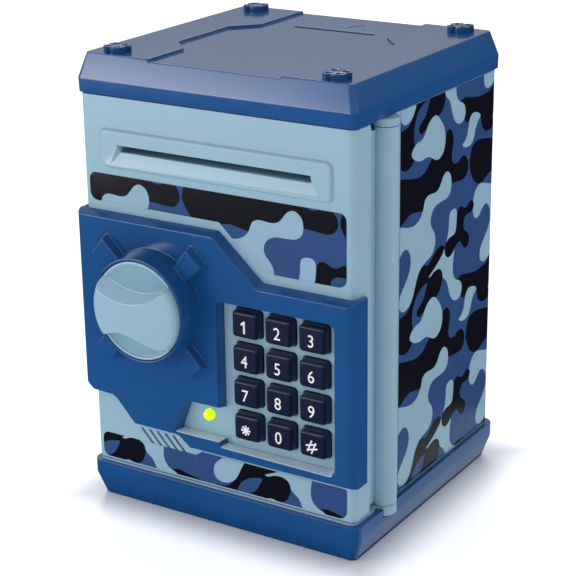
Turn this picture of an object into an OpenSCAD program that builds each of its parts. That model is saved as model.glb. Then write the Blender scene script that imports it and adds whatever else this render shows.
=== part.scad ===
// Toy safe coin bank: cabinet, hinged door with keypad, knob lock and note feed.
// Origin: centre of the underside of the base. +X is the hinge side, the door faces -Y, +Z is up.

/* [Cabinet] */
// Width across the side walls
body_w = 125.4; // [125:0.2:127]
// Depth from the closed door to the back wall
body_d = 118; // [118:0.5:119]
// Thickness of the moulded walls
wall = 2.2; // [2:0.1:2.4]
// Radius of the upright back corners
corner_r = 4.5; // [4:0.5:6]
// Width of the base
base_w = 129.4; // [129.4:0.2:131]
// Depth of the base
base_d = 121.2; // [121.2:0.2:123]
// Height of the base rim
base_h = 16.2; // [16.2:0.1:16.4]
// Height at which the base starts to narrow towards the floor
base_chamfer_z = 10.1; // [8:0.1:11]

/* [Lid] */
// Width of the lid
lid_w = 127; // [127:0.2:129]
// Depth of the lid
lid_d = 119.6; // [119.6:0.2:121]
// Height of the underside of the lid
lid_z = 174.8; // [174.8:0.1:175]
// Height of the upright band of the lid
lid_band = 5.7; // [5:0.1:7]
// Height of the whole lid
lid_h = 15.7; // [14.5:0.1:16.5]
// Length of the coin slot
coin_slot_l = 38.5; // [30:0.5:42]
// Width of the coin slot
coin_slot_w = 2.8; // [2.4:0.1:3.4]

/* [Door] */
// Depth of the door box without its bezel
door_t = 13; // [13:0.1:13.2]
// Height of the front bezel above the door face
bezel_h = 4.7; // [4:0.1:5]
// Width of the note slot
note_slot_w = 87.6; // [80:0.2:88]
// Height of the note slot
note_slot_h = 3; // [2.6:0.1:3.2]

/* [Keypad] */
// Distance between key columns
key_pitch_x = 15.15; // [15:0.05:15.3]
// Distance between key rows
key_pitch_z = 14.45; // [14.3:0.05:14.6]
// Width of a key at the door face
key_w = 12.2; // [11.8:0.1:12.4]
// Height of a key at the door face
key_h = 11.4; // [11:0.1:11.6]

/* [Knob] */
// Radius of the knob's disc
knob_r = 20.3; // [19.6:0.1:20.4]
// Radius of the collar around the knob, at its foot
collar_r = 22.4; // [22.3:0.1:23]
// Radius of the spindle
spindle_r = 4; // [3.6:0.1:4.2]

/* [Hinge] */
// Radius of the hinge barrel
barrel_r = 5.3; // [5:0.1:5.4]
// Radius of the hinge pins
pin_r = 1.5; // [1.2:0.1:1.8]

/* [Hidden] */
$fn = 48;
eps = 0.02;
run_gap = 0.06;

// Door planes, front to back
door_y = -body_d / 2;
face_t = 2;
face_back = door_y + face_t;
door_back_y = door_y + door_t;
cover_t = 1.6;
door_half = body_w / 2;
door_bottom = base_h + 1.3;
door_top = lid_z - 0.5;
door_corner_r = 3;
jamb_y = door_back_y + 0.7;
sill_t = 0.9;

// Base tray
base_r = 4.5;
base_inset = 3.2;
base_floor = 2.4;
base_wall = 5.5;
screw_head_z = 4;

// Hinge
hinge_x = 61.8;
hinge_y = -35;
barrel_bottom = 17.4;
barrel_top = 171.4;
knuckle_bottom = 13;
knuckle_top = lid_z - 0.2;
knuckle_gap = 0.3;
pin_reach = 12;
pin_fit = 0.02;
web_t = 3.2;

// Interior
floor_z = base_h + 2;
strike_in = 4;
jamb_x = 54.5;
channel_y = -28.9;
channel_wall = 2;
jamb_t = 2.5;
head_h = 4;
boss_h = 9;

// Screw bosses of the cabinet, plan positions
boss_spots = [[-54, 51], [54, 51], [-54, -37], [46, -37]];
boss_r = 4;
ear_l = 7;
screw_r = 1.5;
screw_head_r = 2.8;
screw_hole = 0.05;
screw_free = 0.2;
small_screw_r = 1.2;
small_hole_r = 1.25;
small_head_r = 2.2;
small_head_h = 1.2;

// Lid
lid_inset_x = 3.2;
lid_inset_y = 2.9;
lid_recess = 1;
lid_top = lid_z + lid_h;
coin_slot_at = [1.5, 30];
stud_at = [49.8, 49.7];
stud_r = 5.5;
stud_h = 2.3;

// Front features, measured from the origin in x and z
bezel_left_top = 127.5;
bezel_right_top = 109.7;
bezel_bottom = 33;
bezel_apron = 38.1;
bezel_left_bottom = 48.5;
bezel_half = door_half + 1.8;
bezel_skin = 1.8;
bezel_y = door_y - bezel_h;
bezel_wrap_y = door_y + 6.5;
key_origin = [15.6, 92.2];
key_face = 4.2;
key_travel = 1.2;
flange_t = 1;
led_at = [-4.4, 49.2];
led_r = 2.3;
knob_at = [-26.4, 94.2];
knob_face_y = -78.3;
knob_disc_y = -75.2;
collar_y = -75.2;
collar_draft = 0.8;
dish_y = -74;
knob_skin = 1.6;
note_z = 153.9;
grille_at = [-36, 32];
speaker_at = [-27, 32];
door_screw_spots = [[-52.5, 24], [-52.5, 168], [44, 23], [44, 168], [-12, 118], [20, 118]];
board_screw_spots = [[5.4, 42.7], [56.4, 42.7], [5.4, 98.2], [56.4, 98.2]];
board_y = -53.4;
board_t = 1.6;
sheet_t = 0.5;
film_t = 0.15;
wrap_film_t = 0.2;
wrap_front_y = -25;

// Battery box on the back of the door
cell_r = 7.15;
cell_l = 49;
cell_pitch = 14.9;
bat_x = 21;
bat_z = 29;
bat_wall = 1.5;
bat_w = 3 * cell_pitch + 0.6;
bat_h = 55;
bat_d = 15.2;
bat_cover_t = 1.6;
cover_screw_at = [bat_x, bat_z + bat_h + 5];

// Note feed on the back of the door
feed_y = -36;
roller_r = 4.5;
pinch_r = 4;
roller_gap = 0.3;
drive_z = note_z - roller_gap / 2 - roller_r;
pinch_z = note_z + roller_gap / 2 + pinch_r;
gear_m = 0.6;
gear_teeth = 30;
pinion_teeth = 12;
pinion_z = drive_z - gear_m * (gear_teeth + pinion_teeth) / 2;
feed_plate_x = 38;
gear_x = 41.3;
gear_w = 3;
motor_r = 7.4;
motor_l = 26;
motor_flat = 6.4;
motor_shaft_r = 0.8;
motor_boss_r = 3;
roller_x = 30;
roller_l = 11;
feed_base_y = door_back_y + 0.1;
feed_base_t = 1.6;
feed_low_z = 129;
feed_high_z = 164.5;
feed_screw_spots = [[-25, 133], [5, 133], [-18, 161.4], [18, 161.4]];

// Lock
cam_y = -55;
cam_t = 4;
cam_r = 9.5;
cam_root = 6.2;
lever_y = jamb_y + 3;
lever_t = 3;
lever_l = 33;
lever_half = 4;
plunger_r = 2;
plunger_tip = knob_at[0] - cam_r - 0.7;
coil_x = [-58.5, -41];
coil_y = [face_back + 0.2, -49];
coil_half = 6;
coil_ear = 4.5;
coil_screw_spots = [[-50, knob_at[1] - 8.4], [-50, knob_at[1] + 8.4]];

light_blue = "#9abccd";
dark_blue = "#1c5390";
navy = "#16203f";
film_blue = "#2b4a7d";
cream = "#e8e4d8";
steel = "#b8bcc2";
black_part = "#202226";

KEY_NODES = ["key_1", "key_2", "key_3", "key_4", "key_5", "key_6",
             "key_7", "key_8", "key_9", "key_star", "key_0", "key_hash"];

// ---------------------------------------------------------------- helpers

module rounded_square(w, d, r) {
  square([w - 2 * r, d], center = true);
  square([w, d - 2 * r], center = true);
  for (sx = [-1, 1], sy = [-1, 1])
    translate([sx * (w / 2 - r), sy * (d / 2 - r)]) circle(r);
}

module box(low, high) translate(low) cube(high - low);

// A front-view outline in x and z, made solid from y0 back to y1
module front_plate(y0, y1) translate([0, y1, 0]) rotate([90, 0, 0]) linear_extrude(y1 - y0) children();

// A rod along y through the front-view point at
module y_rod(at, r, y0, y1) translate([at[0], y0, at[1]]) rotate([-90, 0, 0]) cylinder(r = r, h = y1 - y0);

// A rod along x through the side-view point y, z
module x_rod(y, z, r, x0, x1) translate([x0, y, z]) rotate([0, 90, 0]) cylinder(r = r, h = x1 - x0);

// Plan of the cabinet walls: square at the front, round at the two back corners
module cabinet_plan(inset) {
  r = corner_r - inset;
  half = body_w / 2 - inset;
  back = body_d / 2 - inset;
  translate([-half, jamb_y]) square([2 * half, back - r - jamb_y]);
  translate([-(half - r), back - r - 1]) square([2 * (half - r), r + 1]);
  for (s = [-1, 1]) translate([s * (half - r), back - r]) circle(r);
}

// Plan of the door box: round at the two front corners
module door_plan(inset) {
  r = door_corner_r - inset;
  half = door_half - inset;
  front = door_y + inset;
  translate([-half, front + r]) square([2 * half, door_back_y - cover_t - front - r]);
  translate([-(half - r), front]) square([2 * (half - r), r + 1]);
  for (s = [-1, 1]) translate([s * (half - r), front + r]) circle(r);
}

module screw(length, head_h) {
  cylinder(r = screw_r, h = length);
  difference() {
    translate([0, 0, -head_h]) cylinder(r = screw_head_r, h = head_h);
    for (a = [0, 90]) rotate(a) translate([-1.8, -0.3, -head_h - eps]) cube([3.6, 0.6, 0.8]);
  }
}

// A cross-head screw that points to -Y: its head sits at y, at the front-view point at
module small_screw(at, y, length) translate([at[0], y, at[1]]) rotate([90, 0, 0]) {
  cylinder(r = small_screw_r, h = length);
  difference() {
    translate([0, 0, -small_head_h]) cylinder(r = small_head_r, h = small_head_h);
    for (a = [0, 90]) rotate(a) translate([-1.4, -0.25, -small_head_h - eps]) cube([2.8, 0.5, 0.7]);
  }
}

// ---------------------------------------------------------------- gears

function involute(base, t) = [base * (cos(t) + t * PI / 180 * sin(t)), base * (sin(t) - t * PI / 180 * cos(t))];
function spun(p, a) = [p[0] * cos(a) - p[1] * sin(a), p[0] * sin(a) + p[1] * cos(a)];
function flipped(p) = [p[0], -p[1]];

// One spur gear in the x-y plane, a tooth centred on +x
module spur_gear(m, teeth, thickness, bore) {
  pitch = m * teeth / 2;
  base = pitch * cos(20);
  tip = pitch + 0.85 * m;
  root = pitch - 1.2 * m;
  steps = 5;
  slack = 0.12 / pitch * 180 / PI / 2;
  inv20 = (tan(20) - 20 * PI / 180) * 180 / PI;
  half_tooth = 90 / teeth + inv20 - slack;
  t_tip = sqrt(pow(tip / base, 2) - 1) * 180 / PI;
  flank = [for (i = [0:steps]) spun(involute(base, t_tip * i / steps), -half_tooth)];
  tooth = concat([spun([root, 0], -half_tooth)], flank, [for (i = [steps:-1:0]) flipped(flank[i])],
                 [flipped(spun([root, 0], -half_tooth))]);
  outline = [for (k = [0:teeth - 1], p = tooth) spun(p, k * 360 / teeth)];
  difference() {
    linear_extrude(thickness) polygon(outline);
    translate([0, 0, -1]) cylinder(r = bore, h = thickness + 2);
  }
}

// ---------------------------------------------------------------- cabinet

module base_tray() color(dark_blue) {
  difference() {
    union() {
      hull() {
        linear_extrude(eps) rounded_square(base_w - 2 * base_inset, base_d - 2 * base_inset, 3, $fn = 32);
        translate([0, 0, base_chamfer_z - eps])
          linear_extrude(eps) rounded_square(base_w, base_d, base_r, $fn = 32);
      }
      translate([0, 0, base_chamfer_z]) linear_extrude(base_h - base_chamfer_z)
        rounded_square(base_w, base_d, base_r);
    }
    translate([0, 0, base_floor]) linear_extrude(base_h)
      rounded_square(base_w - 2 * base_wall, base_d - 2 * base_wall, 3);
    // notch for the lower knuckle of the hinge
    translate([hinge_x, hinge_y, knuckle_bottom - 0.3]) cylinder(r = barrel_r + 0.3, h = base_h);
    for (p = boss_spots) translate([p[0], p[1], -1]) cylinder(r = boss_r, h = 8);
  }
  for (p = boss_spots) translate([p[0], p[1], 0]) difference() {
    cylinder(r = boss_r, h = base_h);
    translate([0, 0, -1]) cylinder(r = screw_r + screw_free, h = base_h + 2);
    translate([0, 0, -1]) cylinder(r = screw_head_r + 0.3, h = screw_head_z + 1);
  }
}

module hinge_knuckle(z0, z1) translate([hinge_x, hinge_y, z0]) difference() {
  cylinder(r = barrel_r, h = z1 - z0);
  translate([0, 0, -1]) cylinder(r = pin_r + pin_fit, h = z1 - z0 + 2);
}

module body_shell() color(light_blue) {
  wall_top = lid_z;
  front_in = jamb_y + jamb_t;
  difference() {
    union() {
      // side and back walls
      translate([0, 0, base_h]) linear_extrude(wall_top - base_h) difference() {
        cabinet_plan(0);
        cabinet_plan(wall);
        translate([-body_w / 2 + wall, jamb_y - 1]) square([body_w - 2 * wall, 10]);
        translate([jamb_x, jamb_y - 1]) square([20, channel_y - jamb_y + 1]);
      }
      // channel that the hinge barrel turns in
      box([jamb_x - channel_wall, jamb_y, base_h], [jamb_x, channel_y + channel_wall, wall_top]);
      box([jamb_x - channel_wall, channel_y, base_h], [body_w / 2, channel_y + channel_wall, wall_top]);
      // strike lip, front head and floor
      box([-body_w / 2, jamb_y, base_h], [-body_w / 2 + wall + strike_in, front_in, wall_top]);
      box([-body_w / 2, jamb_y, wall_top - head_h], [jamb_x, front_in, wall_top]);
      translate([0, 0, base_h]) linear_extrude(floor_z - base_h) cabinet_plan(1);
      // sill under the door and the ledge that carries the lower knuckle
      translate([0, (door_y + jamb_y) / 2 + 2, base_h])
        linear_extrude(sill_t) rounded_square(body_w - 0.4, jamb_y - door_y + 4, 3);
      box([jamb_x, jamb_y - 1, base_h], [hinge_x, channel_y + 1, base_h + sill_t]);
      box([jamb_x - 1, hinge_y - 3, barrel_top + knuckle_gap], [hinge_x, channel_y + 1, knuckle_top]);
      // bosses for the base screws and ears for the lid screws
      for (p = boss_spots) {
        translate([p[0], p[1], base_h]) cylinder(r = boss_r, h = boss_h);
        translate([p[0], p[1], wall_top - head_h]) cylinder(r = boss_r, h = head_h);
        box([min(p[0], p[0] + sign(p[0]) * ear_l), p[1] - 2.5, wall_top - head_h],
            [max(p[0], p[0] + sign(p[0]) * ear_l), p[1] + 2.5, wall_top]);
      }
    }
    // clear the floor plate and sill above the knuckle axis
    box([jamb_x, jamb_y - 1, base_h + sill_t], [body_w, channel_y, barrel_top + knuckle_gap - eps]);
    translate([hinge_x, hinge_y, base_h - 1]) cylinder(r = pin_r + pin_fit, h = sill_t + 2);
    translate([hinge_x, hinge_y, barrel_top]) cylinder(r = pin_r + pin_fit, h = 10);
    for (p = boss_spots) {
      translate([p[0], p[1], base_h - 1]) cylinder(r = screw_r + screw_hole, h = boss_h);
      translate([p[0], p[1], wall_top - 5]) cylinder(r = screw_r + screw_free, h = 6);
    }
  }
  hinge_knuckle(knuckle_bottom, barrel_bottom - knuckle_gap);
  hinge_knuckle(barrel_top + knuckle_gap, knuckle_top);
}

module lid_recess_outline() {
  end_half = 30;
  mid_half = 39.5;
  half_d = lid_d / 2 + 1;
  polygon([[-end_half, -half_d], [end_half, -half_d], [end_half, -33], [mid_half, -23], [mid_half, 13],
           [end_half, 23.5], [end_half, half_d], [-end_half, half_d], [-end_half, 23.5],
           [-mid_half, 13], [-mid_half, -23], [-end_half, -33]]);
}

module lid() color(dark_blue) {
  difference() {
    union() {
      translate([0, 0, lid_z]) linear_extrude(lid_band) rounded_square(lid_w, lid_d, 4.5);
      hull() {
        translate([0, 0, lid_z + lid_band - eps])
          linear_extrude(eps) rounded_square(lid_w, lid_d, 4.5, $fn = 32);
        translate([0, 0, lid_top - eps]) linear_extrude(eps)
          rounded_square(lid_w - 2 * lid_inset_x, lid_d - 2 * lid_inset_y, 3, $fn = 32);
      }
    }
    translate([0, 0, lid_z - 1]) linear_extrude(lid_h - 2.6) rounded_square(lid_w - 9, lid_d - 9, 3);
    translate([0, 0, lid_top - lid_recess]) linear_extrude(2) lid_recess_outline();
    translate([coin_slot_at[0], coin_slot_at[1], lid_z]) linear_extrude(lid_h + 1)
      rounded_square(coin_slot_l, coin_slot_w, coin_slot_w / 2 - 0.1);
  }
  for (p = boss_spots) translate([p[0], p[1], lid_z]) difference() {
    cylinder(r = boss_r - 0.5, h = lid_h - 3);
    translate([0, 0, -1]) cylinder(r = screw_r + screw_hole, h = 10);
  }
}

// Four round studs, each with four notches and four pockets in its top
module corner_studs() color(dark_blue)
  for (sx = [-1, 1], sy = [-1, 1]) translate([sx * stud_at[0], sy * stud_at[1], lid_top]) difference() {
    notch_r = 1.7;
    pocket_r = 1.3;
    pocket_h = 1.2;
    cylinder(r = stud_r, h = stud_h);
    for (a = [0:90:270]) rotate(a) translate([stud_r + 0.2, 0, -1]) cylinder(r = notch_r, h = stud_h + 2);
    for (a = [45:90:315]) rotate(a) translate([3.4, 0, stud_h - pocket_h]) cylinder(r = pocket_r, h = 2);
  }

module camo_wrap() color(film_blue) difference() {
  translate([0, 0, base_h + 0.6]) linear_extrude(lid_z - base_h - 1) difference() {
    cabinet_plan(-wrap_film_t);
    cabinet_plan(0);
  }
  box([0, door_y, 0], [body_w, wrap_front_y, lid_top]);
  box([-body_w, door_y, 0], [0, jamb_y + 4.3, lid_top]);
}

module hinge_pins() color(steel) for (z = [knuckle_bottom + 0.6, barrel_top - pin_reach])
  translate([hinge_x, hinge_y, z]) cylinder(r = pin_r, h = pin_reach + 2.8);

module base_screws() color(steel) for (p = boss_spots) translate([p[0], p[1], screw_head_z]) screw(18, 2);

module lid_screws() color(steel) for (p = boss_spots) translate([p[0], p[1], lid_z - head_h]) screw(12, 2);

// ---------------------------------------------------------------- door

module key_spots() for (row = [0:3], col = [0:2])
  translate([key_origin[0] + col * key_pitch_x, key_origin[1] - row * key_pitch_z]) children();

// Five slanting speaker slots
module grille() {
  pitch = 3.95;
  slot = [9.4, 1];
  for (i = [0:4]) translate([grille_at[0] + i * pitch, grille_at[1]]) rotate(-47) square(slot, center = true);
}

// Raised frame around the note slot with its sloping lip
module slot_frame() {
  frame_w = 106.6;
  frame_h = 15.8;
  proud = 1.2;
  half_in = 47.6;
  lip_z = [147.2, 148];
  slot_low = note_z - note_slot_h / 2;
  difference() {
    front_plate(door_y - proud, door_y + eps) translate([0, note_z - 0.3]) rounded_square(frame_w, frame_h, 2.5);
    box([-half_in, door_y - proud - 1, lip_z[0]], [half_in, door_y + 1, note_z + note_slot_h / 2]);
  }
  // lip: high at the back where it meets the slot, low at the front
  rotate([90, 0, 90]) translate([0, 0, -half_in]) linear_extrude(2 * half_in)
    polygon([[door_y + 0.5, slot_low], [door_y - proud, lip_z[1]], [door_y - proud, lip_z[0]],
             [door_y + 0.5, lip_z[0]]]);
}

module door_shell() color(light_blue) difference() {
  union() {
    difference() {
      translate([0, 0, door_bottom]) linear_extrude(door_top - door_bottom) door_plan(0);
      translate([0, 0, door_bottom + face_t])
        linear_extrude(door_top - door_bottom - 2 * face_t) difference() {
          translate([-door_half + face_t, face_back]) square([2 * (door_half - face_t), door_t]);
        }
    }
    slot_frame();
    for (p = door_screw_spots) y_rod(p, 3, face_back - eps, door_back_y - cover_t);
    for (p = board_screw_spots) y_rod(p, 2.2, face_back - eps, board_y - sheet_t - 0.2);
  }
  front_plate(door_y - 2, face_back + 1) translate([0, note_z])
    square([note_slot_w, note_slot_h], center = true);
  front_plate(door_y - 1, face_back + 1) key_spots() rounded_square(key_w + 0.5, key_h + 0.5, 1.6);
  front_plate(door_y - 1, face_back + 1) grille();
  y_rod(led_at, led_r + 0.05, door_y - 1, face_back + 1);
  y_rod(knob_at, spindle_r + run_gap, door_y - 1, face_back + 1);
  for (p = door_screw_spots) y_rod(p, small_hole_r, door_y + 4, door_back_y);
  for (p = board_screw_spots) y_rod(p, small_hole_r, face_back + 0.4, board_y);
  for (p = coil_screw_spots) y_rod(p, small_hole_r, face_back - 1.5, face_back + 1);
}

module door_back() color(light_blue) {
  low_x = bat_x - bat_w / 2 - bat_wall;
  high_x = bat_x + bat_w / 2 + bat_wall;
  difference() {
    union() {
      front_plate(door_back_y - cover_t, door_back_y)
        translate([0, (door_bottom + door_top) / 2])
          rounded_square(2 * door_half - 1.4, door_top - door_bottom - 1, 2);
      box([low_x, door_back_y - eps, bat_z - bat_wall],
          [high_x, door_back_y + bat_d, bat_z + bat_h + bat_wall]);
      // web and hinge barrel
      box([hinge_x - web_t - 1.4, door_back_y - eps, barrel_bottom + 1],
          [hinge_x - 1.4, hinge_y, barrel_top - 1]);
      translate([hinge_x, hinge_y, barrel_bottom]) cylinder(r = barrel_r, h = barrel_top - barrel_bottom);
      y_rod(knob_at, spindle_r + 2.5, door_back_y - 3, door_back_y + 2);
    }
    box([low_x + bat_wall, door_back_y + 0.2, bat_z], [high_x - bat_wall, door_back_y + 40, bat_z + bat_h]);
    front_plate(door_back_y - cover_t - 1, door_back_y + 1)
      translate([0, note_z]) square([93, 7], center = true);
    y_rod(knob_at, spindle_r + run_gap, door_back_y - 5, door_back_y + 5);
    for (p = door_screw_spots) y_rod(p, screw_r + 0.1, door_back_y - 3, door_back_y + 1);
    for (p = feed_screw_spots) y_rod(p, small_hole_r, door_back_y - 3, door_back_y + 1);
    translate([hinge_x, hinge_y, 0]) cylinder(r = pin_r + run_gap, h = barrel_bottom + pin_reach + 1);
    translate([hinge_x, hinge_y, barrel_top - pin_reach - 1]) cylinder(r = pin_r + run_gap, h = 30);
    y_rod(cover_screw_at, small_hole_r, door_back_y - 1, door_back_y + 40);
  }
  // screw boss of the battery cover
  difference() {
    y_rod(cover_screw_at, 3.2, door_back_y - eps, door_back_y + bat_d);
    y_rod(cover_screw_at, small_hole_r, door_back_y + 2, door_back_y + bat_d + 1);
  }
}

module door_screws() color(steel) for (p = door_screw_spots) small_screw(p, door_back_y, 7);

// Outline of the dark bezel; the right part ends in a straight edge
module bezel_outline() polygon([
  [-bezel_half, bezel_left_top], [2.5, bezel_left_top], [22.3, bezel_right_top],
  [bezel_half, bezel_right_top], [bezel_half, bezel_bottom], [-11.8, bezel_bottom],
  [-17.1, bezel_apron], [-40.1, bezel_apron], [-50.1, bezel_left_bottom],
  [-60.4, bezel_left_bottom], [-bezel_half, bezel_left_bottom + 2.6]]);

module keypad_window() {
  polygon([[4, 98.5], [55.3, 98.5], [55.3, 38.7], [4, 38.7], [4, 40.8], [-17.4, 40.8], [-12.4, 54.2], [4, 54.2]]);
}

module spoke(angle, reach) rotate(angle) translate([collar_r - 3, -3.8]) square([reach - collar_r + 3, 7.6]);

// Plan of the bezel: it wraps round both sides of the door
module bezel_plan() {
  r = 3.5;
  translate([-bezel_half, bezel_y + r]) square([2 * bezel_half, bezel_wrap_y - bezel_y - r]);
  translate([-(bezel_half - r), bezel_y]) square([2 * (bezel_half - r), r + 1]);
  for (s = [-1, 1]) translate([s * (bezel_half - r), bezel_y + r]) circle(r);
}

module bezel_apron_outline() polygon([
  [-70, bezel_left_bottom], [-27.4, bezel_left_bottom], [-19.2, 40.6], [-11.8, 33], [-11.8, 20], [-70, 20]]);

module front_bezel() color(dark_blue) difference() {
  union() {
    difference() {
      intersection() {
        front_plate(bezel_y, bezel_wrap_y) bezel_outline();
        translate([0, 0, 20]) linear_extrude(120) bezel_plan();
      }
      // hollow behind the skin, open to the door face
      front_plate(bezel_y + bezel_skin, door_y) difference() {
        offset(delta = -bezel_skin) bezel_outline();
        offset(delta = bezel_skin) keypad_window();
        translate(knob_at) circle(collar_r);
      }
      translate([0, 0, 20]) linear_extrude(120) door_plan(-0.05);
      front_plate(bezel_y - 1, bezel_y + 0.6) bezel_apron_outline();
    }
    translate([knob_at[0], collar_y, knob_at[1]]) rotate([-90, 0, 0])
      cylinder(r1 = collar_r - collar_draft, r2 = collar_r, h = bezel_y + eps - collar_y);
    for (s = [[140, 33.5], [46, 32.5], [225, 35], [-50, 33.5]])
      front_plate(bezel_y - 3.4, bezel_y + eps) translate(knob_at) spoke(s[0], s[1]);
  }
  y_rod(knob_at, knob_r + 0.3, collar_y - 1, bezel_y + bezel_skin - 1);
  y_rod(knob_at, spindle_r + 0.5, bezel_y - 1, door_y + 1);
  front_plate(bezel_y - 1, door_y + 1) keypad_window();
}

module film() front_plate(door_y - film_t, door_y) children();

module upper_camo_film() color(film_blue) film() polygon([
  [-59.5, 142.7], [59, 142.7], [59, 111.6], [23.2, 111.6], [3.4, 129.4], [-59.5, 129.4]]);

module lower_camo_film() color(film_blue) film() polygon([
  [-59.5, 18.4], [59, 18.4], [59, 31.6], [-8.5, 31.6], [-11.5, 28.4], [-59.5, 28.4]]);

module led_lens() color("#c8ff00") {
  y_rod(led_at, led_r, door_y - 0.5, face_back + 1.4);
  translate([led_at[0], door_y - 0.5, led_at[1]]) difference() {
    sphere(r = led_r);
    translate([0, 5, 0]) cube(10, center = true);
  }
  y_rod(led_at, led_r + 0.8, face_back + 0.2, face_back + 1.4);
}

module keypad_membrane() color("#d8d6cf") {
  sheet_y = board_y - 0.1 - sheet_t;
  difference() {
    box([2.6, sheet_y, 40.2], [59, sheet_y + sheet_t, 100.7]);
    for (p = board_screw_spots) y_rod(p, 1.5, sheet_y - 1, sheet_y + 1);
  }
  for (row = [0:3], col = [0:2])
    translate([key_origin[0] + col * key_pitch_x, sheet_y + 0.1, key_origin[1] - row * key_pitch_z])
      rotate([90, 0, 0]) cylinder(r1 = 2.8, r2 = 1.7, h = 2.4);
}

module circuit_board() color("#1f6b3a") {
  board_back = board_y + board_t;
  difference() {
    box([-12, board_y, 39], [59.6, board_back, 102]);
    for (p = board_screw_spots) y_rod(p, 1.3, board_y - 1, board_back + 1);
    box([-13, board_y - 1, 60], [1.5, board_back + 1, 103]);
  }
  // main chip, crystal and capacitor
  box([14, board_back, 66], [26, board_back + 2, 78]);
  box([34, board_back, 50], [40, board_back + 2.5, 58]);
  y_rod([36, 86], 3.2, board_back, board_back + 3.4);
}

module board_screws() color(steel) for (p = board_screw_spots) small_screw(p, board_y + board_t, 4.4);

module speaker() color(black_part) difference() {
  union() {
    y_rod(speaker_at, 9.5, face_back + 0.1, face_back + 2.6);
    y_rod(speaker_at, 6, face_back + 2.6, face_back + 6);
  }
  y_rod(speaker_at, 8.3, face_back, face_back + 1.2);
}

module batteries() color("#c9a24a") for (i = [-1:1]) {
  flip = i == 0 ? 1 : 0;
  translate([bat_x + i * cell_pitch, door_back_y + 0.3 + cell_r, flip ? bat_z + bat_h - 3.4 : bat_z + 3.4])
    mirror([0, 0, flip]) {
      cylinder(r = cell_r, h = cell_l);
      cylinder(r = 2.7, h = cell_l + 1.2);
    }
}

module battery_contacts() color(steel) for (i = [-1:1]) {
  x = bat_x + i * cell_pitch;
  y = door_back_y + 0.3 + cell_r;
  nub_up = i != 0;
  spring_z = nub_up ? bat_z + 0.5 : bat_z + bat_h - 0.5;
  box([x - 5, y - 5, bat_z], [x + 5, y + 5, bat_z + 0.4]);
  box([x - 5, y - 5, bat_z + bat_h - 0.4], [x + 5, y + 5, bat_z + bat_h]);
  dir = nub_up ? 1 : -1;
  for (k = [0:2]) translate([x, y, spring_z + dir * (0.5 + k * 0.95)])
    rotate_extrude() translate([4 - k * 0.5, 0]) circle(0.4, $fn = 16);
}

module battery_cover() color(light_blue) {
  y0 = door_back_y + bat_d;
  difference() {
    union() {
      box([bat_x - bat_w / 2 - bat_wall, y0, bat_z - bat_wall],
          [bat_x + bat_w / 2 + bat_wall, y0 + bat_cover_t, bat_z + bat_h + bat_wall]);
      box([bat_x - 5, y0, bat_z + bat_h], [bat_x + 5, y0 + bat_cover_t, bat_z + bat_h + 10]);
    }
    y_rod(cover_screw_at, screw_r, y0 - 1, y0 + 3);
    // thumb grip
    for (i = [-3:3]) box([bat_x + i * 4 - 0.6, y0 + 1, bat_z + 6], [bat_x + i * 4 + 0.6, y0 + 2, bat_z + 14]);
  }
}

module battery_cover_screw() color(steel) small_screw(cover_screw_at, door_back_y + bat_d + bat_cover_t, 9);

// ---------------------------------------------------------------- keys

module key_cap(col, row) color(navy)
  translate([key_origin[0] + col * key_pitch_x, 0, key_origin[1] - row * key_pitch_z]) difference() {
    union() {
      front_plate(door_y - eps, face_back + 0.2) rounded_square(key_w, key_h, 1.5);
      hull() {
        front_plate(door_y - eps, door_y) rounded_square(key_w, key_h, 1.5, $fn = 24);
        front_plate(door_y - key_face + 0.8, door_y - key_face + 0.9)
          rounded_square(key_w - 0.9, key_h - 0.9, 1.6, $fn = 24);
        front_plate(door_y - key_face, door_y - key_face + eps)
          rounded_square(key_w - 2.4, key_h - 2.4, 1.4, $fn = 24);
      }
      front_plate(face_back + 0.2, face_back + 0.2 + flange_t) rounded_square(key_w + 1.6, key_h + 1.6, 1.5);
    }
    y_rod([0, 0], 3.3, door_y + 1.1, face_back + 5);
  }

module key_1() key_cap(0, 0);
module key_2() key_cap(1, 0);
module key_3() key_cap(2, 0);
module key_4() key_cap(0, 1);
module key_5() key_cap(1, 1);
module key_6() key_cap(2, 1);
module key_7() key_cap(0, 2);
module key_8() key_cap(1, 2);
module key_9() key_cap(2, 2);
module key_star() key_cap(0, 3);
module key_0() key_cap(1, 3);
module key_hash() key_cap(2, 3);

// ---------------------------------------------------------------- note feed

module note_guide() color(light_blue) difference() {
  box([-45.5, face_back + 0.1, note_z - 3.2], [45.5, door_back_y - 0.2, note_z + 3.2]);
  box([-44, face_back - 1, note_z - 1.9], [44, door_back_y + 1, note_z + 1.9]);
}

module feed_frame() color(black_part) {
  y0 = feed_base_y;
  cheek_y = feed_y + 8.5;
  difference() {
    box([-feed_plate_x - 2, y0, feed_low_z], [feed_plate_x + 2, y0 + feed_base_t, feed_high_z]);
    box([-36, y0 - 1, note_z - 4], [36, y0 + 3, note_z + 4]);
    for (s = [-1, 1]) box([s * 30.5 - 6.5, y0 - 1, 143], [s * 30.5 + 6.5, y0 + 3, 163]);
    for (p = feed_screw_spots) y_rod(p, screw_r, y0 - 1, y0 + 3);
  }
  // cheeks that carry the shafts
  for (s = [-1, 1]) difference() {
    box([s * feed_plate_x - (s < 0 ? 2 : 0), y0 + 1, feed_low_z],
        [s * feed_plate_x + (s > 0 ? 2 : 0), cheek_y, feed_high_z]);
    x_rod(feed_y, drive_z, pin_r + run_gap, -60, 60);
    x_rod(feed_y, pinch_z, pin_r + run_gap, -60, 60);
    x_rod(feed_y, pinion_z, motor_boss_r + 0.2, -60, 60);
    box([s * feed_plate_x - 3, door_back_y - 1, note_z - 2.2], [s * feed_plate_x + 3, feed_y - 5, note_z + 2.2]);
  }
}

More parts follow.
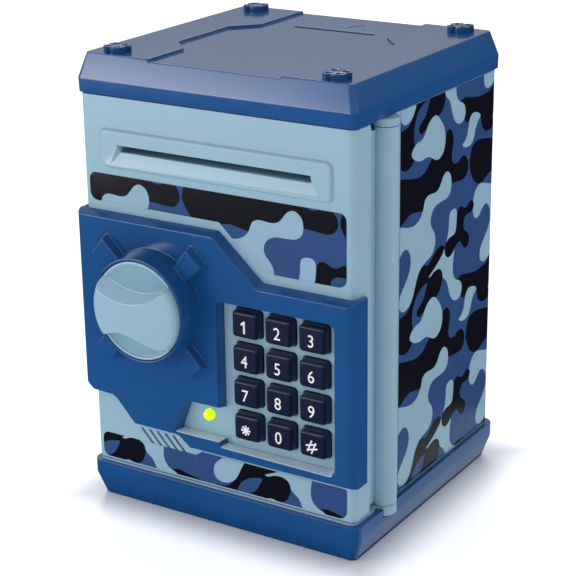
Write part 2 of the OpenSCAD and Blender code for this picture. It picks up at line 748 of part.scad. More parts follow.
module feed_screws() color(steel) for (p = feed_screw_spots) small_screw(p, feed_base_y + feed_base_t, 4.2);

module feed_motor() color(steel) {
  x1 = feed_plate_x - 0.1;
  intersection() {
    x_rod(feed_y, pinion_z, motor_r, x1 - motor_l, x1 - 1.5);
    box([0, feed_y - motor_flat, drive_z - 40], [60, feed_y + motor_flat, drive_z + 40]);
  }
  difference() {
    x_rod(feed_y, pinion_z, motor_boss_r, x1 - 1.5, x1 + 1.2);
    x_rod(feed_y, pinion_z, motor_shaft_r + run_gap, x1 - 1.5, x1 + 5);
  }
}

module motor_pinion() color(cream) {
  translate([gear_x - 0.2, feed_y, pinion_z]) rotate([0, 90, 0])
    rotate(180 / pinion_teeth) spur_gear(gear_m, pinion_teeth, gear_w + 0.4, motor_shaft_r - 0.01);
  x_rod(feed_y, pinion_z, motor_shaft_r, feed_plate_x - 1.5, gear_x + gear_w + 0.6);
}

module feed_gear() color(cream) translate([gear_x, feed_y, drive_z]) rotate([0, 90, 0])
  spur_gear(gear_m, gear_teeth, gear_w, pin_r);

module feed_shaft() color(steel) x_rod(feed_y, drive_z, pin_r, -feed_plate_x - 4, gear_x + gear_w + 0.6);

module roller(z, r, x) difference() {
  x_rod(feed_y, z, r, x - roller_l / 2, x + roller_l / 2);
  x_rod(feed_y, z, pin_r, x - roller_l, x + roller_l);
}

module feed_rollers() color("#3a3a3c") for (s = [-1, 1]) roller(drive_z, roller_r, s * roller_x);

module pinch_shaft() color(steel) x_rod(feed_y, pinch_z, pin_r, -feed_plate_x - 4, feed_plate_x + 2.8);

module pinch_rollers() color("#3a3a3c") for (s = [-1, 1]) roller(pinch_z, pinch_r, s * roller_x);

// ---------------------------------------------------------------- knob and lock

// Front view of the grip bar: hollow above, and a round hollow running into a straight edge below
module grip_outline() difference() {
  upper_r = 25.5;
  lower_r = 24;
  lower_edge = -12.6;
  circle(knob_r);
  translate([-4, 3.2 + upper_r]) circle(upper_r);
  translate([-6, -9.7 - lower_r]) circle(lower_r);
  translate([0, lower_edge - knob_r]) square(2 * knob_r, center = true);
}

module knob() color(light_blue) {
  dish_r = 18.9;
  difference() {
    union() {
      difference() {
        y_rod(knob_at, knob_r, knob_disc_y, bezel_y - 0.6);
        y_rod(knob_at, dish_r, knob_disc_y - 1, dish_y);
      }
      front_plate(knob_face_y, dish_y + eps) translate(knob_at) grip_outline();
    }
    difference() {
      y_rod(knob_at, knob_r - knob_skin, dish_y + knob_skin, door_y);
      y_rod(knob_at, spindle_r + 2.5, dish_y, bezel_y - 0.6);
    }
    y_rod(knob_at, spindle_r, dish_y + knob_skin, door_y);
  }
}

module knob_spindle() color(black_part) difference() {
  y_rod(knob_at, spindle_r, dish_y + knob_skin, lever_y + lever_t + 0.4);
  y_rod(knob_at, 1.2, lever_y - 6, lever_y + lever_t + 2);
}

// Cam with one raised sector that the plunger blocks
module lock_cam() color(cream) front_plate(cam_y, cam_y + cam_t) translate(knob_at) difference() {
  reach = 20;
  union() {
    circle(cam_root);
    intersection() {
      circle(cam_r);
      polygon([[0, 0], [-reach * cos(18), -reach * sin(18)], [-reach, -reach],
               [-reach * cos(72), -reach * sin(72)]]);
    }
  }
  circle(spindle_r);
}

module latch_lever() color(cream) front_plate(lever_y, lever_y + lever_t) translate(knob_at) difference() {
  union() {
    circle(7);
    translate([-lever_half, -lever_l + 2]) square([2 * lever_half, lever_l - 2]);
    translate([0, -lever_l + lever_half]) circle(lever_half);
  }
  circle(spindle_r);
}

module lever_screw() color(steel) translate([knob_at[0], lever_y + lever_t + 0.4, knob_at[1]]) rotate([90, 0, 0]) {
  cylinder(r = 1.18, h = 7);
  difference() {
    translate([0, 0, -1.6]) cylinder(r = 4.6, h = 1.6);
    for (a = [0, 90]) rotate(a) translate([-2, -0.3, -2]) cube([4, 0.6, 1.2]);
  }
}

// Coil block with two screw ears
module lock_solenoid() color(black_part) difference() {
  ear_half = 4;
  ear_t = 1.6;
  ear_x = coil_screw_spots[0][0];
  union() {
    box([coil_x[0], coil_y[0], knob_at[1] - coil_half], [coil_x[1], coil_y[1], knob_at[1] + coil_half]);
    box([ear_x - ear_half, coil_y[0], knob_at[1] - coil_half - coil_ear],
        [ear_x + ear_half, coil_y[0] + ear_t, knob_at[1] + coil_half + coil_ear]);
  }
  x_rod(cam_y + cam_t / 2, knob_at[1], plunger_r + run_gap, -54, -35);
  for (p = coil_screw_spots) y_rod(p, screw_r, coil_y[0] - 1, coil_y[0] + 3);
}

module solenoid_screws() color(steel) for (p = coil_screw_spots) small_screw(p, coil_y[0] + 1.6, 3);

module lock_plunger() color(steel) {
  x_rod(cam_y + cam_t / 2, knob_at[1], plunger_r, -52, plunger_tip);
}

// ---------------------------------------------------------------- output

base_tray();
body_shell();
lid();
corner_studs();
camo_wrap();
hinge_pins();
base_screws();
lid_screws();
door_shell();
door_back();
door_screws();
front_bezel();
upper_camo_film();
lower_camo_film();
led_lens();
keypad_membrane();
circuit_board();
board_screws();
speaker();
batteries();
battery_contacts();
battery_cover();
battery_cover_screw();
note_guide();
feed_frame();
feed_screws();
feed_motor();
motor_pinion();
feed_gear();
feed_shaft();
feed_rollers();
pinch_shaft();
pinch_rollers();
knob();
knob_spindle();
lock_cam();
latch_lever();
lever_screw();
lock_solenoid();
solenoid_screws();
lock_plunger();
key_1();
key_2();
key_3();
key_4();
key_5();
key_6();
key_7();
key_8();
key_9();
key_star();
key_0();
key_hash();
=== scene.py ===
"""Looks of the toy safe coin bank, built round its CAD frame. Helpers take millimetres."""

import math

import bmesh
import bpy
from mathutils import Matrix, Vector
from mathutils.geometry import delaunay_2d_cdt


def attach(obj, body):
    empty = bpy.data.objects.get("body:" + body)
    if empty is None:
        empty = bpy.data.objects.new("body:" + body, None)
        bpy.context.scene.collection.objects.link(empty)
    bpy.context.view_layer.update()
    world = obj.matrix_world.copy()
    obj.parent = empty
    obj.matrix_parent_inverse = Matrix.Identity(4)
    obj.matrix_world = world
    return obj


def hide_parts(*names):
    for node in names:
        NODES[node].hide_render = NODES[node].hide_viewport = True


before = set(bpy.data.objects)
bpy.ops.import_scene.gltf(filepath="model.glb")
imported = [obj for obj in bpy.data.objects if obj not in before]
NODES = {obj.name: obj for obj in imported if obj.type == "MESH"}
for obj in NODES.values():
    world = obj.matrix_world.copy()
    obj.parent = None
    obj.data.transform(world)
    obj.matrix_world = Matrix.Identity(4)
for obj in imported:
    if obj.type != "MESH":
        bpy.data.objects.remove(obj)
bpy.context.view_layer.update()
MM = 0.001


# ---------------------------------------------------------------- outlines

def ring(c, r, steps=64):
    return [(c[0] + r * math.cos(math.tau * i / steps), c[1] + r * math.sin(math.tau * i / steps)) for i in range(steps)]


def rounded(points, radii, steps=6):
    """A closed outline with each corner rounded to its radius; 0 leaves it sharp."""
    if not isinstance(radii, (list, tuple)):
        radii = [radii] * len(points)
    out = []
    for i, p in enumerate(points):
        p, r = Vector(p), radii[i]
        u = (Vector(points[i - 1]) - p).normalized()
        v = (Vector(points[(i + 1) % len(points)]) - p).normalized()
        if r <= 0:
            out.append(tuple(p))
            continue
        half = math.acos(max(-1, min(1, u.dot(v)))) / 2
        c = p + (u + v).normalized() * (r / math.sin(half))
        a, b = p + u * (r / math.tan(half)) - c, p + v * (r / math.tan(half)) - c
        start = math.atan2(a.y, a.x)
        turn = (math.atan2(b.y, b.x) - start + math.pi) % math.tau - math.pi
        for k in range(steps + 1):
            angle = start + turn * k / steps
            out.append((c.x + r * math.cos(angle), c.y + r * math.sin(angle)))
    return out


def inset(points, d):
    """The outline moved inwards by d, with mitred corners."""
    n = len(points)
    area = sum(points[i - 1][0] * points[i][1] - points[i][0] * points[i - 1][1] for i in range(n))
    side = 1 if area > 0 else -1
    out = []
    for i, p in enumerate(points):
        e = (Vector(p) - Vector(points[i - 1])).normalized()
        f = (Vector(points[(i + 1) % n]) - Vector(p)).normalized()
        m, k = Vector((-e.y, e.x)) * side, Vector((-f.y, f.x)) * side
        out.append(tuple(Vector(p) + (m + k) * (d / (1 + m.dot(k)))))
    return out


def block(w, d, r=0, c=(0, 0), steps=6):
    """A rectangle w by d round the point c, its corners rounded to r."""
    x, y = w / 2, d / 2
    return rounded([(c[0] + i * x, c[1] + j * y) for i, j in ((-1, -1), (1, -1), (1, 1), (-1, 1))], r, steps)


def turned(points, angle, c=(0, 0)):
    s, k = math.sin(math.radians(angle)), math.cos(math.radians(angle))
    return [(c[0] + x * k - y * s, c[1] + x * s + y * k) for x, y in points]


def curve(points, per=5):
    """A smooth closed outline through the points."""
    out, n = [], len(points)
    for i in range(n):
        a, b, c, d = (Vector(points[(i + j) % n]) for j in (-1, 0, 1, 2))
        for k in range(per):
            t = k / per
            out.append(tuple(0.5 * ((2 * b) + (c - a) * t + (2 * a - 5 * b + 4 * c - d) * t * t
                                    + (3 * b - a - 3 * c + d) * t ** 3)))
    return out


# ---------------------------------------------------------------- solids

def loft(rings):
    n = len(rings[0])
    faces = [tuple(range(n)), tuple(range((len(rings) - 1) * n, len(rings) * n))]
    for k in range(len(rings) - 1):
        faces += [(k * n + i, k * n + (i + 1) % n, (k + 1) * n + (i + 1) % n, (k + 1) * n + i) for i in range(n)]
    return [p for r in rings for p in r], faces


def plate(outline, y0, y1, far=None):
    """From the front-view outline at y0 back to the outline far, or the same one, at y1."""
    return loft([[(x, y0, z) for x, z in outline], [(x, y1, z) for x, z in far or outline]])


def slab(outline, z0, z1, top=None):
    return loft([[(x, y, z0) for x, y in outline], [(x, y, z1) for x, y in top or outline]])


def rod(at, r, y0, y1, far=None, steps=48):
    return plate(ring(at, r, steps), y0, y1, ring(at, far or r, steps))


def post(at, r, z0, z1, steps=48):
    return slab(ring(at, r, steps), z0, z1)


def lathe(at, profile, steps=96):
    """Rings of radius r at depth y, for each (r, y) of the profile."""
    return loft([[(x, y, z) for x, z in ring(at, r, steps)] for r, y in profile])


def mesh(name, shapes):
    verts, faces = [], []
    for v, f in shapes:
        faces += [tuple(i + len(verts) for i in face) for face in f]
        verts += v
    data = bpy.data.meshes.new(name)
    data.from_pydata([(x * MM, y * MM, z * MM) for x, y, z in verts], [], faces)
    bm = bmesh.new()
    bm.from_mesh(data)
    bmesh.ops.recalc_face_normals(bm, faces=bm.faces)
    bm.to_mesh(data)
    bm.free()
    obj = bpy.data.objects.new(name, data)
    bpy.context.scene.collection.objects.link(obj)
    return obj


def freeze(obj):
    """The object's mesh becomes what its modifiers make of it."""
    data = bpy.data.meshes.new_from_object(obj.evaluated_get(bpy.context.evaluated_depsgraph_get()))
    obj.modifiers.clear()
    obj.data = data


def combine(obj, shapes, how="DIFFERENCE"):
    tool = mesh("tool", shapes)
    mod = obj.modifiers.new("combine", "BOOLEAN")
    mod.operation, mod.solver, mod.object = how, "EXACT", tool
    freeze(obj)
    bpy.data.objects.remove(tool)
    return obj


def add(obj, shapes):
    return combine(obj, shapes, "UNION")


def tidy(obj):
    """Joins points that meet and makes flat faces out of few triangles, so that edges bevel evenly."""
    bm = bmesh.new()
    bm.from_mesh(obj.data)
    bmesh.ops.remove_doubles(bm, verts=bm.verts, dist=0.002 * MM)
    bmesh.ops.dissolve_degenerate(bm, edges=bm.edges, dist=0.002 * MM)
    bmesh.ops.dissolve_limit(bm, angle_limit=math.radians(0.3), verts=bm.verts, edges=bm.edges)
    bmesh.ops.triangulate(bm, faces=bm.faces)
    bm.to_mesh(obj.data)
    bm.free()


def soften(obj, width, angle=32, segments=3, weld=False):
    """Small rounded edges, as a mould leaves them."""
    for p in obj.data.polygons:
        p.use_smooth = True
    if weld:
        obj.modifiers.new("weld", "WELD").merge_threshold = 0.001 * MM
    mod = obj.modifiers.new("edges", "BEVEL")
    mod.width, mod.segments, mod.limit_method = width * MM, segments, "ANGLE"
    mod.angle_limit, mod.use_clamp_overlap, mod.loop_slide = math.radians(angle), weld, False
    obj.modifiers.new("normals", "WEIGHTED_NORMAL").keep_sharp = False


def dress(obj, body, paint, nodes=(), edge=0.3, angle=32):
    """Finishes a piece: edges, material, the body that carries it and the CAD nodes that it stands for."""
    if edge:
        tidy(obj)
        soften(obj, edge, angle)
    if not obj.data.materials:
        obj.data.materials.append(paint)
    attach(obj, body)
    if nodes:
        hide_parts(*nodes)
    return obj


# ---------------------------------------------------------------- materials

def linear(r, g, b):
    return tuple((c / 255 / 12.92 if c < 10.3 else ((c / 255 + 0.055) / 1.055) ** 2.4) for c in (r, g, b)) + (1.0,)


def material(name, colour, rough, vary=0.06, patch=28, grain=1400, bump=0.03, spread=0.08, **sockets):
    """Plastic, rubber, film or metal: patches of slightly different colour, uneven gloss and a fine grain."""
    mat = bpy.data.materials.new(name)
    mat.use_nodes = True
    nodes, links = mat.node_tree.nodes, mat.node_tree.links
    shader = nodes["Principled BSDF"]
    place = nodes.new("ShaderNodeTexCoord")

    def noise(scale, detail):
        n = nodes.new("ShaderNodeTexNoise")
        n.inputs["Scale"].default_value, n.inputs["Detail"].default_value = scale, detail
        links.new(place.outputs["Object"], n.inputs["Vector"])
        return n.outputs["Fac"]

    ramp = nodes.new("ShaderNodeValToRGB")
    ramp.color_ramp.elements[0].position, ramp.color_ramp.elements[1].position = 0.3, 0.7
    for element, k in zip(ramp.color_ramp.elements, (1 - vary, 1 + vary)):
        element.color = tuple(min(1, c * k) for c in colour[:3]) + (1,)
    links.new(noise(patch, 3), ramp.inputs["Fac"])
    links.new(ramp.outputs["Color"], shader.inputs["Base Color"])
    gloss = nodes.new("ShaderNodeMapRange")
    gloss.inputs["To Min"].default_value = rough * (1 - spread * 2)
    gloss.inputs["To Max"].default_value = rough * (1 + spread * 2)
    links.new(noise(patch * 6, 5), gloss.inputs["Value"])
    links.new(gloss.outputs["Result"], shader.inputs["Roughness"])
    relief = nodes.new("ShaderNodeBump")
    relief.inputs["Strength"].default_value, relief.inputs["Distance"].default_value = bump, 0.00012
    links.new(noise(grain, 2), relief.inputs["Height"])
    links.new(relief.outputs["Normal"], shader.inputs["Normal"])
    for socket, value in sockets.items():
        shader.inputs[socket.replace("_", " ")].default_value = value
    return mat


LIGHT = material("pale_blue_plastic", linear(148, 184, 202), 0.3, 0.02, bump=0.05, spread=0.02)
BLUE = material("dark_blue_plastic", linear(24, 80, 136), 0.15, 0.05, bump=0.03, spread=0.04)
NAVY = material("navy_key_plastic", linear(7, 19, 58), 0.34, 0.1, bump=0.12)
FILM = [material("film_dark", linear(13, 14, 27), 0.26, 0.12, bump=0.05, spread=0.03, Specular_IOR_Level=0.3),
        material("film_mid", linear(44, 78, 130), 0.26, 0.06, bump=0.05, spread=0.03, Specular_IOR_Level=0.3),
        material("film_light", linear(146, 180, 200), 0.26, 0.03, bump=0.05, spread=0.03, Specular_IOR_Level=0.3)]
# darker pale blue for the knob's recessed scoop floors: painted shade in the recesses
SCOOP_SHADE_PAINT = material("pale_blue_scoop_painted_shade", linear(122, 165, 184), 0.4, 0.02, bump=0.08, spread=0.02)
# pale colour for the window's lower walls: a painted reflection of the door face, not the bezel's own colour
WALL_REFLECTION_PAINT = material("painted_reflection_wall", linear(196, 216, 228), 0.2, 0.03, bump=0.02, spread=0.02)
PRINT = material("white_print", linear(238, 240, 240), 0.45, 0.02)
STEEL = material("zinc_plated_steel", linear(190, 192, 196), 0.32, 0.08, 60, 2500, 0.08, Metallic=1.0)
BLACK = material("black_plastic", linear(30, 31, 34), 0.42, 0.12, bump=0.15)
CREAM = material("acetal", linear(226, 222, 208), 0.4, 0.03)
RUBBER = material("black_rubber", linear(40, 40, 42), 0.7, 0.15, bump=0.3)
SILICONE = material("silicone", linear(214, 212, 205), 0.5, 0.04)
BOARD = material("solder_mask", linear(26, 96, 52), 0.35, 0.15, 180, bump=0.1)
SLEEVE = material("battery_sleeve", linear(196, 150, 64), 0.3, 0.1, 50)
LED = material("lit_lens", linear(205, 250, 10), 0.18, 0.08, Emission_Color=linear(200, 255, 0), Emission_Strength=0.9)


# ---------------------------------------------------------------- cabinet

def make_lid():
    lid = mesh("lid_moulding", [loft([
        [(x, y, 174.8) for x, y in block(126.7, 119.3, 2.6, steps=12)],
        [(x, y, 180.5) for x, y in block(127, 119.6, 2.6, steps=12)],
        [(x, y, 190.5) for x, y in block(120.6, 113.8, 1.8, steps=12)]])])
    ends, middle, deep = 30, 39.5, 61
    half = [(ends, -deep), (ends, -33), (middle, -23), (middle, 13), (ends, 23.5), (ends, deep)]
    combine(lid, [slab(half + [(-x, y) for x, y in reversed(half)], 189.5, 192)])
    combine(lid, [slab(block(118, 110.6, 3), 173.8, 187.9)])
    combine(lid, [slab(block(38.5, 2.8, 1.3, (1.5, 30)), 180, 192)])
    combine(lid, [slab(turned(block(8.6, 0.7), 58, (5.2, 42.3)), 189.1, 192)])
    spots = [(-54, 51), (54, 51), (-54, -37), (46, -37)]
    add(lid, [post(p, 3.5, 174.8, 188.1, 32) for p in spots])
    combine(lid, [post(p, 1.5, 173, 184.8, 24) for p in spots])
    dress(lid, "cabinet", BLUE, ["lid"], 0.35, 12)


def make_base():
    base = mesh("base_moulding", [loft([
        [(x, y, 0) for x, y in block(123, 114.8, 2.6)],
        [(x, y, 10.1) for x, y in block(129.4, 121.2, 4)],
        [(x, y, 16.2) for x, y in block(129.4, 121.2, 4)]])])
    combine(base, [slab(block(118.4, 110.2, 3), 2.4, 20)])
    combine(base, [post((61.8, -35), 5.6, 12.7, 20)])
    spots = [(-54, 51), (54, 51), (-54, -37), (46, -37)]
    add(base, [post(p, 4, 0, 16.2, 32) for p in spots])
    combine(base, [post(p, 3.1, -1, 4, 32) for p in spots])
    combine(base, [post(p, 1.7, -1, 18, 24) for p in spots])
    dress(base, "cabinet", BLUE, ["base_tray"], 0.35)


# ---------------------------------------------------------------- door

KEYS = [(15.6 + 15.15 * col, 92.2 - 14.45 * row) for row in range(4) for col in range(3)]
KNOB = (-26.4, 94.2)
LED_AT = (-4.4, 49.2)


def make_door():
    half, front, back, r = 62.7, -59, -47.6, 3
    plan = rounded([(-half, front), (half, front), (half, back), (-half, back)], [r, r, 0, 0], 8)
    door = mesh("door_moulding", [slab(plan, 17.5, 174.3)])
    combine(door, [slab(block(121.4, 20, 0, (0, -47)), 19.5, 172.3)])
    ridge = block(106.6, 15.8, 2.6, (0, 153.6))
    add(door, [loft([[(x, -58.5, z) for x, z in ridge], [(x, -59.3, z) for x, z in ridge],
                     [(x, -60.2, z) for x, z in block(104.9, 14.1, 1.8, (0, 153.6))]])])
    # sloping lip in front of the note slot, then the slot itself
    combine(door, [plate([(-48.4, 147), (48.4, 147), (44.5, 155.4), (-44.5, 155.4)], -60.6, -58.5,
                         [(-43.8, 152.3), (43.8, 152.3), (43.8, 155.4), (-43.8, 155.4)])])
    combine(door, [plate(block(87.6, 3, 0, (0, 153.9)), -62, -56)])
    holes = [plate(block(12.7, 11.9, 1.6, k), -61, -56) for k in KEYS]
    holes += [plate(turned(block(9.4, 1, 0.45), -47, (-36 + 3.95 * i, 32)), -61, -56) for i in range(5)]
    holes += [rod(LED_AT, 2.35, -61, -56), rod(KNOB, 4.06, -61, -56)]
    combine(door, holes)
    screws = [(-52.5, 24), (-52.5, 168), (44, 23), (44, 168), (-12, 118), (20, 118)]
    boards = [(5.4, 42.7), (56.4, 42.7), (5.4, 98.2), (56.4, 98.2)]
    add(door, [rod(p, 3, -57.2, -47.6, steps=24) for p in screws] + [rod(p, 2.2, -57.2, -54.1, steps=24) for p in boards])
    combine(door, [rod(p, 1.25, -55, -46, steps=20) for p in screws] + [rod(p, 1.25, -56.6, -53, steps=20) for p in boards])
    dress(door, "door", LIGHT, ["door_shell"], 0.28)


def make_bezel():
    edge, out = 64.5, 70
    rims = [0, 2, 2, 0, 0, 1.5, 1.5, 2, 2, 1, 0]

    def outline(side, drop=0.0):
        """The front view; drop lowers the bottom edge under the lamp."""
        return [(-side, 127.5), (2.5, 127.5), (22.3, 109.7), (side, 109.7), (side, 33), (-11.8 - drop / 2, 33),
                (-17.1 - drop / 2, 38.1 - drop), (-40.1, 38.1 - drop), (-50.1, 48.5 - drop / 2), (-60.4, 48.5), (-side, 56.3)]

    back, front = rounded(outline(out), rims), rounded(inset(outline(out, 1), 1.6), rims)
    bezel = mesh("bezel_moulding", [loft([[(x, -52.5, z) for x, z in back], [(x, -59.6, z) for x, z in back],
                                          [(x, -63.7, z) for x, z in front]])])
    plan = rounded([(-edge, -63.7), (edge, -63.7), (edge, -52.4), (-edge, -52.4)], [3.5, 3.5, 0, 0], 8)
    combine(bezel, [slab(plan, 20, 140)], "INTERSECT")
    hollow = rounded(inset(outline(edge + 1.4), 3.2), 0)
    combine(bezel, [plate(hollow, -61.9, -58.9)])
    combine(bezel, [slab(block(125.5, 40, 0, (0, -39)), 20, 140)])
    combine(bezel, [plate([(-80, 48.5), (-27.4, 48.5), (-11.8, 32.9), (-11.8, 20), (-80, 20)], -66, -63.1)])
    # collar and spokes round the knob
    add(bezel, [lathe(KNOB, [(21.6, -75.2), (22.4, -63), (22.4, -59)])])
    for angle, reach in ((140, 33.5), (46, 32.5), (225, 35), (-50, 33.5)):
        foot = [(19, -4.2), (reach, -5.4), (reach, 5.4), (19, 4.2)]
        top = [(19, -3.6), (reach - 1, -4.6), (reach - 1, 4.6), (19, 3.6)]
        radii = [0, 0.9, 0.9, 0]
        add(bezel, [plate(turned(rounded(top, radii), angle, KNOB), -67.6, -63.2,
                          turned(rounded(foot, radii), angle, KNOB))])
    combine(bezel, [rod(KNOB, 20.6, -80, -62.9, steps=96)])
    window = [(4, 99.2), (55.3, 99.2), (55.3, 38.7), (4, 38.7), (4, 40.8), (-17.4, 40.8), (-12.4, 54.2), (4, 54.2)]
    curves = [1.2, 3, 3, 1, 0.4, 0.8, 0.8, 0.4]
    frame_in = rounded(inset(window, -1.8), 0)
    add(bezel, [plate(frame_in, -62.4, -59)])
    mouth = [(x, z + 0.7 if x < 5 and z < 41 else z) for x, z in window]
    combine(bezel, [plate(rounded(inset(mouth, -1.15), curves), -64.7, -58.9, rounded(window, curves))])
    combine(bezel, [rod(KNOB, 4.5, -64, -58, steps=32)])
    # the lower walls of the window are painted pale, a painted reflection of the pale door face on the dark blue
    # plastic
    bezel.data.materials.append(BLUE)
    bezel.data.materials.append(WALL_REFLECTION_PAINT)
    for p in bezel.data.polygons:
        c = p.center / MM
        p.material_index = int(p.normal.z > 0.8 and 38 < c.z < 42 and -63.6 < c.y < -59)
    dress(bezel, "door", BLUE, ["front_bezel"], 0.4)


def bar(centre, radius, bottom, steps=36):
    """Front view of the knob's bar: a hollow arc above and a wave below, running past the rim at both ends."""
    xs = [-21 + 42 * i / steps for i in range(steps + 1)]
    top = [(x, bottom + radius - math.sqrt(radius ** 2 - (x - centre) ** 2)) for x in xs]
    low = [(x, -11.4 + 1.75 * math.cos(math.pi * (x + 7.5) / (14 if x < -7.5 else 18.5))) for x in reversed(xs)]
    return [(KNOB[0] + x, KNOB[1] + z) for x, z in top + low]


def make_knob():
    knob = mesh("knob_moulding", [plate(bar(-4, 25.5, 3.2), -78.3, -73.6, bar(0.5, 28, 8.1))])
    combine(knob, [lathe(KNOB, [(20.3, -73), (20.3, -76), (20.15, -76.7), (19.7, -77.4), (19, -77.9),
                                 (18, -78.2), (16.8, -78.32)])], "INTERSECT")
    add(knob, [lathe(KNOB, [(20.3, -64.3), (20.3, -74.8), (19.95, -75.2), (19.3, -75.2), (18.6, -74.1)])])
    combine(knob, [lathe(KNOB, [(18.6, -72.4), (18.6, -60)], 64)])
    add(knob, [rod(KNOB, 6.5, -73, -64.3)])
    combine(knob, [rod(KNOB, 4, -72.4, -60)])
    knob.data.materials.append(LIGHT)
    knob.data.materials.append(SCOOP_SHADE_PAINT)
    # the front-facing scoop floors get the darker colour, painted shade in the recesses
    for p in knob.data.polygons:
        p.material_index = int(p.normal.y < -0.9 and -74.3 < p.center.y / MM < -73.9)
    dress(knob, "knob", LIGHT, ["knob"], 0.32)


SIGNS = "123456789*0#"
KEY_NODES = ["key_" + {"*": "star", "#": "hash"}.get(s, s) for s in SIGNS]


def glyph(sign, at):
    """Raised print of one sign at the front-view point at."""
    y0, y1 = -63.2, -63.1
    if sign == "*":
        bars = [turned([(-2.1, -0.42), (0, -0.2), (2.1, -0.42), (2.1, 0.42), (0, 0.2), (-2.1, 0.42)], a, at)
                for a in (0, 45, 90, 135)]
        return mesh("print_star", [plate(b, y0 - 0.002 * i, y1) for i, b in enumerate(bars)])
    if sign == "#":
        bars = [turned(block(4.9, 0.62, 0, (0, s)), 14, at) for s in (-0.95, 0.95)]
        bars += [turned(block(5.2, 0.62, 0, (0, s)), 68, at) for s in (-0.95, 0.95)]
        return mesh("print_hash", [plate(b, y0 - 0.002 * i, y1) for i, b in enumerate(bars)])
    if sign == "1":
        shape = [(-1.2, 1.5), (0.1, 2.6), (0.65, 2.6), (0.65, -2.6), (-0.15, -2.6), (-0.15, 1.3), (-1.2, 0.6)]
        return mesh("print_1", [plate([(at[0] + x, at[1] + z) for x, z in shape], y0, y1)])
    data = bpy.data.curves.new("print_" + sign, "FONT")
    data.body, data.size, data.extrude = sign, 7.1 * MM, 0.05 * MM
    data.align_x, data.align_y, data.offset = "CENTER", "CENTER", 0.02 * MM
    text = bpy.data.objects.new("print_" + sign, data)
    bpy.context.scene.collection.objects.link(text)
    shown = bpy.data.meshes.new_from_object(text.evaluated_get(bpy.context.evaluated_depsgraph_get()))
    bpy.data.objects.remove(text)
    shown.transform(Matrix.Translation((at[0] * MM, (y0 + 0.05) * MM, at[1] * MM))
                    @ Matrix.Rotation(math.pi / 2, 4, "X") @ Matrix.Diagonal((0.92, 1, 1, 1)))
    obj = bpy.data.objects.new("print_" + sign, shown)
    bpy.context.scene.collection.objects.link(obj)
    return obj


def make_keys():
    face = -59
    for sign, node, at in zip(SIGNS, KEY_NODES, KEYS):
        rings = [(13.8, 13, 1.5, -55.8), (13.8, 13, 1.5, -56.8), (12.2, 11.4, 1.5, -56.8), (12.2, 11.4, 1.5, face),
                 (11.5, 10.7, 1.5, face - 3.3), (10, 9.2, 1.1, face - 4.15)]
        cap = mesh("cap_" + node, [loft([[(x, y, z) for x, z in block(w, h, r, at)] for w, h, r, y in rings])])
        combine(cap, [rod(at, 3.3, -57.9, -50, steps=32)])
        dress(cap, node + "_body", NAVY, [node], 0.3)
        mark = glyph(sign, (at[0] - 0.2, at[1] - 0.8))
        dress(mark, node + "_body", PRINT, edge=0)


def make_lens():
    dome = [(0.05, -61.8)] + [(2.3 * math.cos(math.radians(a)), -59.5 - 2.3 * math.sin(math.radians(a)))
                              for a in range(80, -1, -10)]
    lens = mesh("led_dome", [lathe(LED_AT, dome + [(2.3, -56.8), (3.1, -56.8), (3.1, -55.6)], 40)])
    dress(lens, "door", LED, ["led_lens"], 0.1)


# ---------------------------------------------------------------- camouflage films

TILE_W, TILE_H = 71, 75
DARK_PATCHES = [
    [(-46.3, 167.3), (-43, 168.6), (-39, 167.9), (-33, 166.8), (-28, 166.2), (-23, 166.5), (-19.5, 167), (-17, 168.6),
     (-15.2, 171), (-13.6, 173.5), (-12, 176.2), (-10, 179.5), (-7.3, 182), (-4.5, 182.5), (-2, 181.7), (0.3, 182.4),
     (3, 184.2), (6, 186), (9, 186.6), (12, 185.9), (13, 184), (12.4, 180), (12.2, 176), (11.6, 172.8), (10.6, 169.8),
     (9, 167.4), (5, 165.5), (0, 164), (-4.5, 162.8), (-8, 161.9), (-10.3, 163), (-10.2, 165.2), (-7.8, 166.6),
     (-5, 168.5), (-3.3, 171.3), (-2, 174.2), (-5.5, 173.9), (-9.5, 172.3), (-12.3, 169.7), (-14, 166), (-14.4, 162),
     (-13.6, 157), (-14, 153), (-16.5, 150.8), (-20, 150), (-23.5, 150.9), (-26, 153), (-27.5, 156.5), (-29.5, 158),
     (-33, 158.5), (-37, 158.5), (-40, 157.9), (-42.5, 159.5), (-43, 161.5), (-44.5, 164.5)],
    [(-37, 139), (-36.4, 143), (-35, 146), (-32, 147.8), (-27, 148), (-21, 147), (-16, 145.8), (-10, 145), (-5, 146),
     (-1.5, 148.3), (1, 150), (5, 151), (9, 151.5), (11.8, 153), (12.2, 156), (13.3, 158), (15.3, 158.4), (17.5, 157.3),
     (19, 154.5), (18.8, 151), (17.8, 147.5), (18.4, 144.7), (20.5, 143.2), (23.5, 143.1), (26, 144.3), (28.5, 144.6),
     (31, 143.5), (32.8, 140.8), (32.8, 138), (31, 135.5), (28, 134.6), (23.5, 135), (19.5, 135.3), (16, 135.5),
     (12, 135), (6, 134), (0, 134), (-4, 132.8), (-6.2, 130.6), (-10, 131), (-15, 131.8), (-19, 131.2), (-23, 129.5),
     (-26, 128.9), (-28.5, 129.3), (-32, 131.2), (-35, 134.7)]]
